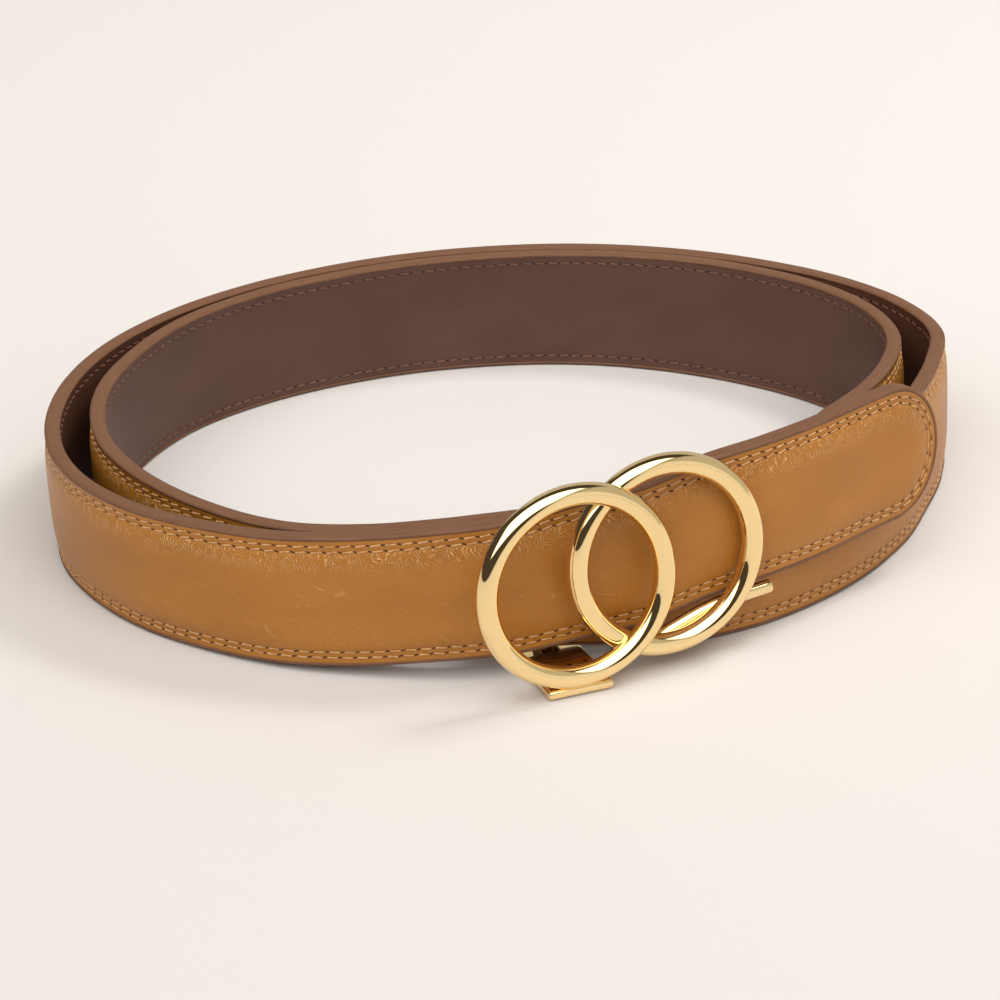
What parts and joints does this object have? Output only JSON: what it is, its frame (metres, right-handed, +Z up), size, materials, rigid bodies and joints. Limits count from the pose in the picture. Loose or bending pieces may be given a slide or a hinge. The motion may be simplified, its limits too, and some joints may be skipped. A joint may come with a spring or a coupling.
{
  "type": "double ring belt",
  "caption": "Dress belt with a padded leather strap and an interlocked ring buckle, wound into an oval coil that rests on its edge.",
  "frame": {"origin": "centre of the bounding box on the surface that the belt rests on", "axes": "+X along the coil's long axis, the rings face -Y, +Z up from the resting surface"},
  "size_m": [0.2132, 0.1744, 0.047],
  "materials": {
    "tan_leather": "satin, fine grain",
    "brown_lining_leather": "matte",
    "polished_gold": "polished gold plating"
  },
  "bodies": {
    "root": {"strap_face": "tan_leather", "strap_lining": "brown_lining_leather", "double_ring_buckle": "polished_gold"}
  },
  "joints": []
}
